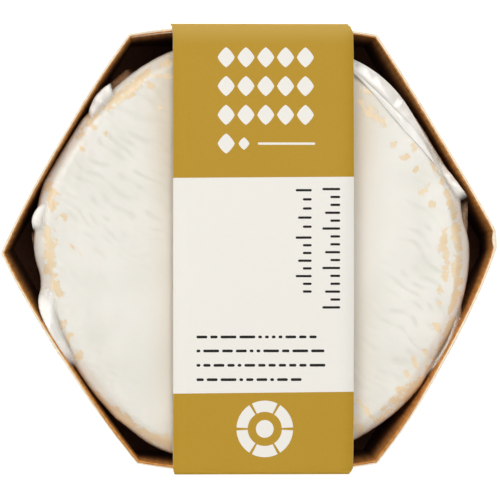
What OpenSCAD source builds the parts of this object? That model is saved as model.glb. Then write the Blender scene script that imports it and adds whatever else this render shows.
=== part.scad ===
// Camembert wheel in clear film, sold in an open six-sided board tray
// that a printed card band holds shut. Millimetres, +Z up.
// The origin is the middle of the underside: X runs corner to corner of the
// tray and Y runs along the band.

/* [Wheel] */
// Diameter of the film-wrapped wheel
wheel_d = 112.4; // [80:0.1:140]
// Height of the film-wrapped wheel
wheel_h = 27; // [18:0.5:40]
// How far loose film stands out towards the tray's two end corners
film_slack = 0.7; // [0:0.1:2]
// Radius of the wheel's rounded top edge
top_edge_r = 4.5; // [3:0.5:8]
// Radius of the wheel's rounded bottom edge
bottom_edge_r = 4; // [2:0.5:8]
// How far the middle of the wheel's top has sunk
top_sag = 0.5; // [0:0.1:1]
// Shift of the wheel from the middle of the tray, [x, y]
wheel_shift = [0.4, -0.9];

/* [Tray] */
// Height of the tray wall above the wheel's top
wall_over = 2.55; // [1:0.05:8]
// Thickness of one layer of board
board_t = 0.45; // [0.3:0.05:1]
// Layers of board in the wall, which is folded over at the rim
wall_layers = 2; // [1:1:3]
// Gap between the wheel and the tray walls
wheel_gap = 0.3; // [0.1:0.05:1]
// How far the wheel pushes out the middle of a wall
wall_give = 2; // [0:0.1:3]
// Width of the narrow side at the glued corner
glue_side_w = 4.6; // [2:0.1:8]
// How far the rim bows out in the middle of each long side, starting at the
// side after the glued corner and going counterclockwise
rim_bow = [0.5, 2.3, 1.5, 1.6, 2.3, 2.4];
// How far each corner of the rim has turned round the tray, in degrees
rim_turn = [2.3, -0.8, -0.8, 0.9, 2.4, 0.8];
// How far each corner of the rim has moved out from the middle
rim_push = [0, 0.5, -0.5, 0, -1.6, 0.5];

/* [Band] */
// Width of the band
band_w = 46.7; // [20:0.1:60]
// Thickness of the band's card
band_t = 0.3; // [0.2:0.05:0.6]
// Shift of the band's middle line from the middle of the tray, along X
band_x = 3.7; // [-5:0.1:5]
// Gap between the band and the tray that it wraps
band_gap = 0.1; // [0.05:0.05:0.5]

/* [Hidden] */

SIDES = 6;              // long sides of the tray
SIDE_STEPS = 8;         // straight stretches that a bowed side is made of
WALL_STEPS = 6;         // straight stretches from the tray's foot to its rim
BOW_POWER = 2.5;        // 2 bows a side as a parabola, more flattens its middle
WHEEL_STEPS = 96;       // points round the wheel
ARC_STEPS = 6;          // points over a rounded edge
CAP_STEPS = 5;          // rings from a rounded edge to the middle
CAP_HOLE = 0.02;        // share of the edge's radius where the last ring lies

wall_t = board_t * wall_layers;
edge_r = board_t * 0.8;                 // rounding of the tray's foot and rim
band_fold_r = edge_r + band_gap + band_t;  // the band folds round those edges
tray_z = band_t + band_gap;
floor_z = tray_z + board_t;
wheel_top_z = floor_z + wheel_h;
rim_z = wheel_top_z + wall_over;
side_dist = wheel_d / 2 + wheel_gap + wall_t - wall_give;  // middle to a wall's foot
corner_dist = side_dist / cos(180 / SIDES);                // middle to a corner

// ---- outlines ----

function polar(r, a) = [r * cos(a), r * sin(a)];
function unit(v) = v / norm(v);
function left_of(v) = [-v[1], v[0]];

// The corners, counterclockwise. The glued corner, the first one, is cut off
// by its narrow side and so makes two points.
function corners(turn, push) = [
    for (i = [0:SIDES - 1])
        let (p = polar(corner_dist + push[i], i * 360 / SIDES + turn[i]),
             half = unit(left_of(p)) * glue_side_w / 2)
        each i == 0 ? [p - half, p + half] : [p]
];

NO_MOVE = [for (i = [1:SIDES]) 0];
foot_corners = corners(NO_MOVE, NO_MOVE);
rim_corners = corners(rim_turn, rim_push);

// Points along one side, without its last corner, bowed outwards by bow.
function side_points(a, b, bow, steps) = [
    for (k = [0:steps - 1])
        let (s = 2 * k / steps - 1, out = -left_of(unit(b - a)))
        a + (b - a) * k / steps + out * bow * (1 - pow(abs(s), BOW_POWER))
];

// A whole outline. Its first side is the narrow one, which stays straight.
function outline(c, bow) = [
    for (i = [0:len(c) - 1])
        each side_points(c[i], c[(i + 1) % len(c)], i == 0 ? 0 : bow[i - 1],
                         i == 0 ? 1 : SIDE_STEPS)
];

foot_line = outline(foot_corners, NO_MOVE);
rim_line = outline(rim_corners, rim_bow);

// Share of the way from the foot's outline to the rim's at height z. The wall
// swells soon above its foot, where the wheel presses it, and then stands up.
function swell(z) = 1 - pow(1 - (z - tray_z) / (rim_z - tray_z), 2);

function wall_line(z) =
    [for (i = [0:len(foot_line) - 1])
        foot_line[i] * (1 - swell(z)) + rim_line[i] * swell(z)];

// An outline moved inwards by d, with its corners kept sharp.
function inset(line, d) =
    let (n = len(line))
    [for (i = [0:n - 1])
        let (before = left_of(unit(line[i] - line[(i + n - 1) % n])),
             after = left_of(unit(line[(i + 1) % n] - line[i])),
             mid = unit(before + after))
        line[i] + mid * d / (mid * after)];

// Distance from point c to the outline in the direction of angle a.
function reach(line, c, a) =
    let (n = len(line), d = polar(1, a))
    max([for (i = [0:n - 1])
        let (p = line[i] - c, e = line[(i + 1) % n] - line[i],
             den = d[0] * e[1] - d[1] * e[0])
        abs(den) < 1e-9 ? 0 :
            let (r = (p[0] * e[1] - p[1] * e[0]) / den,
                 k = (p[0] * d[1] - p[1] * d[0]) / den)
            r > 0 && k >= 0 && k <= 1 ? r : 0]);

// ---- solids made of rings ----

function lift(line, z) = [for (p = line) [p[0], p[1], z]];

// A closed solid through rings of n points each. The first and last rings
// are its two end faces.
module ring_stack(rings) {
    n = len(rings[0]);
    polyhedron(
        points = [for (ring = rings) each ring],
        faces = concat(
            [[for (i = [0:n - 1]) i]],
            [for (k = [0:len(rings) - 2], i = [0:n - 1])
                let (j = (i + 1) % n)
                each [[k * n + i, (k + 1) * n + i, k * n + j],
                      [k * n + j, (k + 1) * n + i, (k + 1) * n + j]]],
            [[for (i = [n - 1:-1:0]) (len(rings) - 1) * n + i]]),
        convexity = 6);
}

// ---- the three pieces ----

// The tray: up its outer face, over the rim and down its inner face.
module tray() {
    foot_z = tray_z + edge_r;
    top_z = rim_z - edge_r;
    color("peru")
    ring_stack(concat(
        [lift(inset(wall_line(tray_z), edge_r), tray_z)],
        [for (k = [0:WALL_STEPS])
            let (z = foot_z + (top_z - foot_z) * k / WALL_STEPS)
            lift(wall_line(z), z)],
        [lift(inset(wall_line(rim_z), edge_r), rim_z)],
        [lift(inset(wall_line(rim_z), wall_t - edge_r), rim_z)],
        [for (k = [0:WALL_STEPS])
            let (z = top_z + (floor_z - top_z) * k / WALL_STEPS)
            lift(inset(wall_line(z), wall_t), z)]
    ));
}

// Uneven outline of the wheel: round, with film standing out towards the
// two end corners and a few shallow swells.
function wheel_r(a) =
    wheel_d / 2 + film_slack * pow(cos(a), 4)
    + 0.3 * cos(3 * a + 40) + 0.2 * cos(5 * a - 70) + 0.15 * cos(9 * a + 15);

// Height of the wheel's top at a share q of its radius: level near the edge,
// with a shallow sag and two soft swells inside.
function top_z(q, a) =
    wheel_top_z - top_sag * pow(1 - q * q, 2) + 0.2 * q * (1 - q) * cos(2 * a - 60);

// A ring of the wheel, drawn in from its outline by d. It stays wheel_gap
// clear of the wall, so the wheel is a little flat where the wall presses it.
function wheel_ring(z, d) =
    let (inner = inset(wall_line(z), wall_t + wheel_gap))
    [for (i = [0:WHEEL_STEPS - 1])
        let (a = i * 360 / WHEEL_STEPS,
             r = min(wheel_r(a), reach(inner, wheel_shift, a)) - d)
        [each wheel_shift + polar(r, a), z]];

// A ring of the wheel's top, at a share q of the edge's radius.
function cap_ring(edge, q) = [
    for (i = [0:WHEEL_STEPS - 1])
        let (p = wheel_shift + ([edge[i][0], edge[i][1]] - wheel_shift) * q)
        [p[0], p[1], top_z(q, i * 360 / WHEEL_STEPS)]
];

module wheel() {
    low = floor_z + bottom_edge_r;
    high = wheel_top_z - top_edge_r;
    top_edge = wheel_ring(wheel_top_z, top_edge_r);
    color("ivory")
    ring_stack(concat(
        [for (k = [0:ARC_STEPS])
            let (a = 90 * k / ARC_STEPS)
            wheel_ring(low - bottom_edge_r * cos(a), bottom_edge_r * (1 - sin(a)))],
        [wheel_ring((low + high) / 2, 0)],
        [for (k = [0:ARC_STEPS - 1])
            let (a = 90 * k / ARC_STEPS)
            wheel_ring(high + top_edge_r * sin(a), top_edge_r * (1 - cos(a)))],
        [for (k = [0:CAP_STEPS]) cap_ring(top_edge, 1 - (1 - CAP_HOLE) * k / CAP_STEPS)]
    ));
}

// A fold of the band: an arc about centre c.
function fold(c, r, from, to) = [
    for (k = [0:ARC_STEPS]) c + polar(r, from + (to - from) * k / ARC_STEPS)
];

// How far from the middle the band's outer face lies on a side whose rim
// bows out by bow, at height z. It swells with the wall that it lies on.
function band_y(bow, z) = side_dist + band_gap + band_t + bow * swell(z);

// The band's face up a side, between its two folds, drawn in by d.
function band_side(bow, d) = [
    for (k = [0:WALL_STEPS])
        let (z = band_fold_r + (rim_z - 2 * band_fold_r) * k / WALL_STEPS)
        [band_y(bow, z) - d, z]
];

// Outline of the band seen along X, drawn in by d from its outer face.
function band_loop(d) =
    let (r = band_fold_r,
         top = rim_z + band_gap + band_t,
         back = band_side(rim_bow[1], d),
         front = [for (k = [WALL_STEPS:-1:0])
             let (p = band_side(rim_bow[4], d)[k]) [-p[0], p[1]]])
    concat(
        back,
        fold([back[WALL_STEPS][0] + d - r, top - r], r - d, 0, 90),
        fold([front[0][0] - d + r, top - r], r - d, 90, 180),
        front,
        fold([front[WALL_STEPS][0] - d + r, r], r - d, 180, 270),
        fold([back[0][0] + d - r, r], r - d, 270, 360));

module band() {
    color("darkgoldenrod")
    translate([band_x - band_w / 2, 0, 0])
    rotate([90, 0, 90])
    linear_extrude(band_w)
    difference() {
        polygon(band_loop(0));
        polygon(band_loop(band_t));
    }
}

tray();
wheel();
band();
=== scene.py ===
"""Looks of a film-wrapped camembert in a six-sided board tray held shut by a printed card band.

Lengths are millimetres until a mesh is made, +Z is up and the origin is the middle of the
underside. Heights and the band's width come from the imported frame. The outlines repeat the
formulas that the construction uses, so every piece lies in the space its solid holds.
"""

from __future__ import annotations

import logging
import math
from dataclasses import dataclass, field
from enum import Enum

import bpy
import numpy as np
from mathutils import Matrix, Vector

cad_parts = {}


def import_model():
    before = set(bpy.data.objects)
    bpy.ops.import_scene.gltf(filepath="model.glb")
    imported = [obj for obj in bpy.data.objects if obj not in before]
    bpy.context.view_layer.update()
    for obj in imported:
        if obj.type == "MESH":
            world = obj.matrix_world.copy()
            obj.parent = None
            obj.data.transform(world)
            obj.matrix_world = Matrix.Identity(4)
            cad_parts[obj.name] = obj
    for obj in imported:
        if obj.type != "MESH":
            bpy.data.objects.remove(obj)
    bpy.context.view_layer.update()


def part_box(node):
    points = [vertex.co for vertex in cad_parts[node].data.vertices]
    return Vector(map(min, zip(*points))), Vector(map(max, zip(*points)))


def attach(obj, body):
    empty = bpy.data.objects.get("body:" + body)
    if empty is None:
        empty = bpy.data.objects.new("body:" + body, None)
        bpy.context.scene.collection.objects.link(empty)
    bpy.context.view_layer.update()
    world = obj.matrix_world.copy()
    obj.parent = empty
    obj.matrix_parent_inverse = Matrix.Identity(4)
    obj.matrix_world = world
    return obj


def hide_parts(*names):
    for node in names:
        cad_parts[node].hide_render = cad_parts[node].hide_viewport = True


MM = 0.001
BODY = "root"
LOG = logging.getLogger("camembert")
Colour = tuple[float, float, float]


# ---- plane geometry, as whole arrays ----


def polar(radius: np.ndarray | float, degrees: np.ndarray | float) -> np.ndarray:
    """Points (r cos a, r sin a)."""
    a = np.radians(degrees)
    return np.stack([radius * np.cos(a), radius * np.sin(a)], axis=-1)


def unit(v: np.ndarray) -> np.ndarray:
    """Vectors of length 1."""
    return v / np.linalg.norm(v, axis=-1, keepdims=True)


def left_of(v: np.ndarray) -> np.ndarray:
    """Vectors turned a quarter to the left."""
    return np.stack([-v[..., 1], v[..., 0]], axis=-1)


def inset(line: np.ndarray, depth: float) -> np.ndarray:
    """A closed counterclockwise outline moved inwards, corners kept sharp.

    Each point moves along the bisector m of its two sides' inward normals by
    depth / (m . normal).

    Args:
        line: points of the outline, one row each.
        depth: how far its sides move inwards.

    Returns:
        The moved points.
    """
    before = left_of(unit(line - np.roll(line, 1, axis=0)))
    after = left_of(unit(np.roll(line, -1, axis=0) - line))
    middle = unit(before + after)
    return line + middle * depth / np.sum(middle * after, axis=1, keepdims=True)


def reach(line: np.ndarray, centre: np.ndarray, degrees: np.ndarray) -> np.ndarray:
    """Distance from a centre to a closed outline, in the direction of each angle.

    Args:
        line: points of the outline.
        centre: where the rays start.
        degrees: direction of each ray.

    Returns:
        The largest r with centre + r d on a side, for each direction d.
    """
    d = polar(1.0, degrees)[:, None, :]
    p = (line - centre)[None]
    e = (np.roll(line, -1, axis=0) - line)[None]
    den = d[..., 0] * e[..., 1] - d[..., 1] * e[..., 0]
    den = np.where(np.abs(den) < 1e-9, np.inf, den)
    r = (p[..., 0] * e[..., 1] - p[..., 1] * e[..., 0]) / den
    k = (p[..., 0] * d[..., 1] - p[..., 1] * d[..., 0]) / den
    return np.where((r > 0) & (k >= 0) & (k <= 1), r, 0.0).max(axis=1)


def smooth_step(low: float, high: float, x: np.ndarray) -> np.ndarray:
    """3t^2 - 2t^3 of the clipped share t of the way from low to high."""
    t = np.clip((x - low) / (high - low), 0.0, 1.0)
    return t * t * (3.0 - 2.0 * t)


def turn_between(a: np.ndarray, b: float) -> np.ndarray:
    """Signed difference a - b of two angles, from -180 to 180 degrees."""
    return (a - b + 180.0) % 360.0 - 180.0


def waves(x: np.ndarray, y: np.ndarray, length: float, seed: int, count: int = 14) -> np.ndarray:
    """A smooth random field of about unit spread: the sum of seeded plane waves.

    Args:
        x: first coordinate.
        y: second coordinate.
        length: typical wavelength, in the coordinates' unit.
        seed: which field.
        count: how many waves are summed.

    Returns:
        sqrt(2 / count) * sum sin(k . p + phase), with |k| near 2 pi / length.
    """
    rng = np.random.default_rng(seed)
    total = np.zeros(np.broadcast(x, y).shape)
    for turn, phase, spread in zip(rng.random(count), rng.random(count), rng.random(count)):
        k = 2.0 * math.pi / length * (0.6 + 0.9 * spread)
        a = 2.0 * math.pi * turn
        total += np.sin(k * (x * math.cos(a) + y * math.sin(a)) + 2.0 * math.pi * phase)
    return total * math.sqrt(2.0 / count)


# ---- meshes ----


def ring_quads(rows: int, cols: int, wrap_rows: bool = False) -> np.ndarray:
    """Quads of a grid whose columns wrap round, and whose rows do if asked."""
    r = np.arange(rows if wrap_rows else rows - 1)[:, None]
    c = np.arange(cols)[None, :]
    r2, c2 = (r + 1) % rows, (c + 1) % cols
    return np.stack([r * cols + c, r * cols + c2, r2 * cols + c2, r2 * cols + c], -1).reshape(-1, 4)


@dataclass
class Shape:
    """Vertices in millimetres and faces that close over them, joined from simple forms."""

    points: list[np.ndarray] = field(default_factory=list)
    faces: list[list[int]] = field(default_factory=list)
    marks: list[int] = field(default_factory=list)
    count: int = 0

    def _take(self, points: np.ndarray, faces: list[list[int]], marks: list[int]) -> None:
        """Adds points and the faces between them, with each face's finish number."""
        self.points.append(points)
        self.faces += [[i + self.count for i in f] for f in faces]
        self.marks += marks
        self.count += len(points)

    def stack(self, rings: np.ndarray, under: int = 0) -> None:
        """Adds a solid through rings, its first and last ring closed to a middle point.

        Args:
            rings: rows x columns x 3, counterclockwise from above, from bottom to top.
            under: finish number of the faces that close its foot.
        """
        rows, cols = rings.shape[:2]
        points = np.concatenate([rings.reshape(-1, 3), [rings[0].mean(0)], [rings[-1].mean(0)]])
        sides = ring_quads(rows, cols).tolist()
        low, high, top = rows * cols, rows * cols + 1, (rows - 1) * cols
        foot = [[(c + 1) % cols, c, low] for c in range(cols)]
        head = [[top + c, top + (c + 1) % cols, high] for c in range(cols)]
        marks = [0] * len(sides) + [under] * cols + [0] * cols
        self._take(points, sides + foot + head, marks)

    def tube(self, rings: np.ndarray, marks: np.ndarray | None = None) -> None:
        """Adds a closed tube: a grid whose rows and columns both wrap round.

        Args:
            rings: rows x columns x 3.
            marks: finish number of each face, rows x columns, or None for all 0.
        """
        rows, cols = rings.shape[:2]
        quads = ring_quads(rows, cols, wrap_rows=True).tolist()
        numbers = [0] * len(quads) if marks is None else marks.reshape(-1).tolist()
        self._take(rings.reshape(-1, 3), quads, numbers)

    def sheet(self, top: np.ndarray, under: np.ndarray) -> None:
        """Adds a closed slab between two grids of the same size.

        Args:
            top: rows x columns x 3, its faces pointing outwards.
            under: the other side of the slab, point for point.
        """
        rows, cols = top.shape[:2]
        r, c = np.meshgrid(np.arange(rows - 1), np.arange(cols - 1), indexing="ij")
        a = (r * cols + c).ravel()
        upper = np.stack([a, a + 1, a + cols + 1, a + cols], -1)
        size = rows * cols
        lower = upper[:, ::-1] + size
        edge = np.concatenate([
            np.arange(cols), cols * np.arange(1, rows) + cols - 1,
            (rows - 1) * cols + np.arange(cols - 2, -1, -1), cols * np.arange(rows - 2, 0, -1)])
        after = np.roll(edge, -1)
        rim = np.stack([edge, edge + size, after + size, after], -1)
        faces = np.concatenate([upper, lower, rim]).tolist()
        points = np.concatenate([top.reshape(-1, 3), under.reshape(-1, 3)])
        self._take(points, faces, [0] * len(faces))

    def plate(self, low: np.ndarray, high: np.ndarray) -> None:
        """Adds a flat prism between two outlines, each counterclockwise from above."""
        n = len(low)
        sides = [[i, (i + 1) % n, n + (i + 1) % n, n + i] for i in range(n)]
        faces = [list(range(n - 1, -1, -1)), list(range(n, 2 * n)), *sides]
        self._take(np.concatenate([low, high]), faces, [0] * len(faces))


class Maker:
    """Turns shapes into pieces of the model that ride on its one body."""

    def __init__(self) -> None:
        """Starts with no pieces."""
        self.made: list[bpy.types.Object] = []

    def piece(self, name: str, shape: Shape, finishes: list[bpy.types.Material],
              sharp: float = 40.0, replaces: tuple[str, ...] = ()) -> bpy.types.Object:
        """Makes one piece.

        Args:
            name: the piece's name.
            shape: its vertices and faces.
            finishes: materials, in the order of the shape's finish numbers.
            sharp: edges that turn by more degrees than this stay sharp.
            replaces: construction nodes that it stands for.

        Returns:
            The new object, at the origin, with its place in its mesh.
        """
        mesh = bpy.data.meshes.new(name)
        points = np.concatenate(shape.points) * MM
        mesh.from_pydata(points.tolist(), [], shape.faces)
        for finish in finishes:
            mesh.materials.append(finish)
        mesh.polygons.foreach_set("material_index", np.array(shape.marks, dtype=np.int32))
        mesh.polygons.foreach_set("use_smooth", np.ones(len(shape.faces), dtype=bool))
        mesh.update()
        mesh.set_sharp_from_angle(angle=math.radians(sharp))
        obj = bpy.data.objects.new(name, mesh)
        bpy.context.scene.collection.objects.link(obj)
        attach(obj, BODY)
        if replaces:
            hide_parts(*replaces)
        self.made.append(obj)
        LOG.info("%s: %d points, %d faces", name, len(points), len(shape.faces))
        return obj


def paint(obj: bpy.types.Object, name: str, values: np.ndarray) -> None:
    """Stores one number per vertex, which a finish can read by name."""
    layer = obj.data.attributes.new(name, "FLOAT", "POINT")
    layer.data.foreach_set("value", values.astype(np.float32).ravel())


# ---- finishes ----


class Sketch:
    """A material's node tree, with short calls for what the finishes share."""

    def __init__(self, name: str) -> None:
        """Starts an empty material with an output."""
        self.material = bpy.data.materials.new(name)
        self.material.use_nodes = True
        self.tree = self.material.node_tree
        self.tree.nodes.clear()
        self.output = self.tree.nodes.new("ShaderNodeOutputMaterial")
        self.place = self.tree.nodes.new("ShaderNodeTexCoord").outputs["Object"]

    def node(self, kind: str, **inputs: object) -> bpy.types.Node:
        """Adds a node and sets or links its inputs.

        Args:
            kind: the node's type, without its ShaderNode prefix.
            inputs: input names, with _ for a space, or _ and a number, each with a value or
                another node's output.

        Returns:
            The node.
        """
        made = self.tree.nodes.new("ShaderNode" + kind)
        for name, value in inputs.items():
            number = name[1:]
            socket = made.inputs[int(number) if number.isdigit() else name.replace("_", " ")]
            if isinstance(value, bpy.types.NodeSocket):
                self.tree.links.new(value, socket)
            else:
                socket.default_value = value
        return made

    def noise(self, scale: float, detail: float = 3.0, stretch: Colour = (1.0, 1.0, 1.0),
              turn: float = 0.0) -> bpy.types.NodeSocket:
        """Noise on object coordinates.

        Args:
            scale: waves per metre.
            detail: octaves.
            stretch: scale of each axis, where less than 1 draws the pattern out.
            turn: degrees that the pattern is turned about Z.

        Returns:
            A value of about 0.5 give or take 0.2.
        """
        mapped = self.node("Mapping", Vector=self.place, Scale=stretch,
                           Rotation=(0.0, 0.0, math.radians(turn)))
        return self.node("TexNoise", Vector=mapped.outputs[0], Scale=scale,
                         Detail=detail).outputs["Fac"]

    def attribute(self, name: str) -> bpy.types.NodeSocket:
        """A number stored on the mesh's points."""
        made = self.node("Attribute")
        made.attribute_name = name
        return made.outputs["Fac"]

    def math(self, operation: str, a: object, b: object = 0.0) -> bpy.types.NodeSocket:
        """One step of arithmetic."""
        made = self.node("Math", _0=a, _1=b)
        made.operation = operation
        return made.outputs[0]

    def step(self, value: bpy.types.NodeSocket, low: float, high: float, to_low: float = 0.0,
             to_high: float = 1.0) -> bpy.types.NodeSocket:
        """Smooth change from to_low to to_high as the value goes from low to high."""
        made = self.node("MapRange", Value=value, From_Min=low, From_Max=high, To_Min=to_low,
                         To_Max=to_high)
        made.interpolation_type = "SMOOTHSTEP"
        return made.outputs[0]

    def mix(self, share: object, a: object, b: object) -> bpy.types.NodeSocket:
        """Colour a where share is 0 and b where it is 1."""
        made = self.tree.nodes.new("ShaderNodeMix")
        made.data_type = "RGBA"
        for socket, value in zip((made.inputs[0], made.inputs[6], made.inputs[7]), (share, a, b)):
            if isinstance(value, bpy.types.NodeSocket):
                self.tree.links.new(value, socket)
            elif socket == made.inputs[0]:
                socket.default_value = value
            else:
                socket.default_value = (*value, 1.0)
        return made.outputs[2]

    def bump(self, height: bpy.types.NodeSocket, depth: float) -> bpy.types.NodeSocket:
        """Normals of a relief that is depth millimetres high."""
        return self.node("Bump", Height=height, Distance=depth * MM).outputs[0]

    def close(self, shader: bpy.types.NodeSocket) -> bpy.types.Material:
        """Links the shader to the output and returns the material."""
        self.tree.links.new(shader, self.output.inputs["Surface"])
        return self.material


@dataclass(frozen=True)
class KraftBoard:
    """Brown kraft board: short fibres and upright streaks.

    Painted shade: its colour goes over from a shade colour at one height to the plain one at a
    higher one. Where both lie under the tray, all of it is plain.
    """

    name: str
    light: Colour
    dark: Colour
    painted_shade: Colour
    painted_shade_z: float = -10.0
    unshaded_z: float = -5.0
    streaks: float = 0.2

    def material(self) -> bpy.types.Material:
        """Builds the node material."""
        s = Sketch(self.name)
        fibre = s.noise(900.0, 5.0)
        streak = s.noise(1100.0, 3.0, stretch=(1.0, 1.0, 0.04))
        blotch = s.noise(60.0, 3.0)
        share = s.math("ADD", s.math("MULTIPLY", fibre, 1.0 - self.streaks),
                       s.math("MULTIPLY", streak, self.streaks))
        colour = s.mix(s.step(share, 0.3, 0.7), self.dark, self.light)
        colour = s.mix(s.step(blotch, 0.35, 0.75, 0.0, 0.35), colour, self.dark)
        # Painted shade: darker towards the bottom.
        height = s.node("SeparateXYZ", Vector=s.place).outputs["Z"]
        colour = s.mix(s.step(height, self.painted_shade_z * MM, self.unshaded_z * MM), self.painted_shade, colour)
        shader = s.node("BsdfPrincipled", Base_Color=colour, Normal=s.bump(share, 0.06),
                        Roughness=s.step(fibre, 0.3, 0.7, 0.72, 0.9))
        shader.inputs["Specular IOR Level"].default_value = 0.25
        return s.close(shader.outputs[0])


@dataclass(frozen=True)
class Paper:
    """Matt paper or print: one colour with fine mottling and, if asked, a painted highlight by a fold.
    """

    name: str
    colour: Colour
    worn: Colour
    mottle: float = 0.25
    roughness: float = 0.55
    relief: float = 0.01
    # A painted highlight: paler over a strip up to a fold line, in the last colour.
    painted_highlight_y: float = 0.0
    painted_highlight_w: float = 6.0
    fold: Colour = (0.0, 0.0, 0.0)

    def material(self) -> bpy.types.Material:
        """Builds the node material."""
        s = Sketch(self.name)
        grain = s.noise(1800.0, 4.0)
        cloud = s.noise(45.0, 2.0)
        share = s.math("ADD", s.step(grain, 0.35, 0.7, 0.0, self.mottle),
                       s.step(cloud, 0.3, 0.75, 0.0, self.mottle * 0.6))
        colour = s.mix(share, self.colour, self.worn)
        # Painted highlight: paler towards the fold, as if lit more there.
        if self.painted_highlight_y:
            y = s.node("SeparateXYZ", Vector=s.place).outputs["Y"]
            near = s.step(y, (self.painted_highlight_y - self.painted_highlight_w) * MM, self.painted_highlight_y * MM)
            colour = s.mix(near, colour, self.fold)
        shader = s.node("BsdfPrincipled", Base_Color=colour, Normal=s.bump(grain, self.relief),
                        Roughness=s.step(grain, 0.3, 0.7, self.roughness - 0.06,
                                         self.roughness + 0.06))
        shader.inputs["Specular IOR Level"].default_value = 0.12
        return s.close(shader.outputs[0])


@dataclass(frozen=True)
class Rind:
    """Velvety white mould rind, mottled green-grey, painted shade in its hollows, beige where rubbed.
    """

    name: str
    white: Colour
    # Green-grey of the random mottle, also painted into the hollows and ripples as shade.
    hollow: Colour
    worn: Colour
    stain: Colour
    # Colour of the band's painted shadow on the rind.
    painted_band_shadow: Colour

    def material(self) -> bpy.types.Material:
        """Builds the node material. It reads attributes for wear, painted hollow shade and band shadow.
        """
        s = Sketch(self.name)
        fine = s.noise(1500.0, 4.0)
        cloud = s.noise(55.0, 4.0)
        rough_edge = s.noise(480.0, 4.0)
        flecks = s.noise(1900.0, 3.0)
        colour = s.mix(s.step(cloud, 0.40, 0.66, 0.0, 0.55), self.white, self.hollow)
        # Painted shade: the grey is laid into the relief's hollows and ripples.
        colour = s.mix(s.step(s.attribute("painted_hollow_shade"), 0.0, 1.0), colour, self.hollow)
        # Painted shadow of the band: warmer and darker beside it.
        colour = s.mix(s.step(s.attribute("painted_band_shadow"), 0.0, 1.0), colour, self.painted_band_shadow)
        ragged = s.math("ADD", s.math("MULTIPLY", rough_edge, 2.6), s.math("MULTIPLY", flecks, 1.7))
        wear = s.math("ADD", s.attribute("wear"), s.math("SUBTRACT", ragged, 1.62))
        wear = s.math("MULTIPLY", wear, s.step(s.attribute("wear"), 0.02, 0.14))
        bare = s.step(wear, 0.94, 1.04)
        patch = s.mix(s.step(rough_edge, 0.5, 0.75, 0.0, 0.6), self.worn, self.stain)
        colour = s.mix(bare, colour, patch)
        relief = s.math("ADD", s.math("MULTIPLY", fine, 0.35), s.math("MULTIPLY", bare, -0.5))
        shader = s.node("BsdfPrincipled", Base_Color=colour, Normal=s.bump(relief, 0.08),
                        Roughness=s.step(fine, 0.3, 0.7, 0.62, 0.82))
        shader.inputs["Subsurface Weight"].default_value = 0.12
        shader.inputs["Subsurface Radius"].default_value = (0.0022, 0.0014, 0.0007)
        shader.inputs["Subsurface Scale"].default_value = 1.0
        shader.inputs["Specular IOR Level"].default_value = 0.3
        return s.close(shader.outputs[0])


@dataclass(frozen=True)
class Film:
    """Clear wrapping film: see-through under a gloss, with a little milky haze.

    Its mirror share is m + (1 - m) (1 - cos)^5, alike from both sides. A fading film reads
    the attribute veil, which is 0 where it melts into what it lies on.
    """

    name: str
    tint: Colour
    haze: float
    gloss: float = 0.16
    crinkle: float = 0.16
    mirror: float = 0.05
    evenness: float = 0.6
    fading: bool = False

    def material(self) -> bpy.types.Material:
        """Builds the node material: haze over what lies behind, then gloss."""
        s = Sketch(self.name)
        fine = s.noise(520.0, 4.0)
        ridge = s.noise(190.0, 3.0, stretch=(1.0, 0.35, 1.0), turn=-40.0)
        relief = s.math("ADD", fine, s.math("MULTIPLY", ridge, 1.6))
        normal = s.bump(relief, self.crinkle)
        share = s.step(relief, 0.9, 1.7, self.haze * self.evenness, min(self.haze * 1.4, 0.98))
        front = s.node("BsdfDiffuse", Color=(*self.tint, 1.0))
        through = s.node("BsdfTranslucent", Color=(*self.tint, 1.0))
        body = s.node("MixShader", _0=0.1, _1=front.outputs[0], _2=through.outputs[0])
        clear = s.node("BsdfTransparent")
        veil = s.attribute("veil") if self.fading else 1.0
        share = s.math("MULTIPLY", share, veil)
        hazy = s.node("MixShader", _0=share, _1=clear.outputs[0], _2=body.outputs[0])
        shine = s.node("BsdfGlossy", Color=(1.0, 1.0, 1.0, 1.0), Roughness=self.gloss, Normal=normal)
        facing = s.node("LayerWeight", Blend=0.5, Normal=normal).outputs["Facing"]
        mirror = s.math("MULTIPLY", s.math("POWER", facing, 5.0), 1.0 - self.mirror)
        mirror = s.math("MULTIPLY", s.math("ADD", mirror, self.mirror), veil)
        mixed = s.node("MixShader", _0=mirror, _1=hazy.outputs[0], _2=shine.outputs[0])
        return s.close(mixed.outputs[0])


# ---- the tray ----


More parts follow.
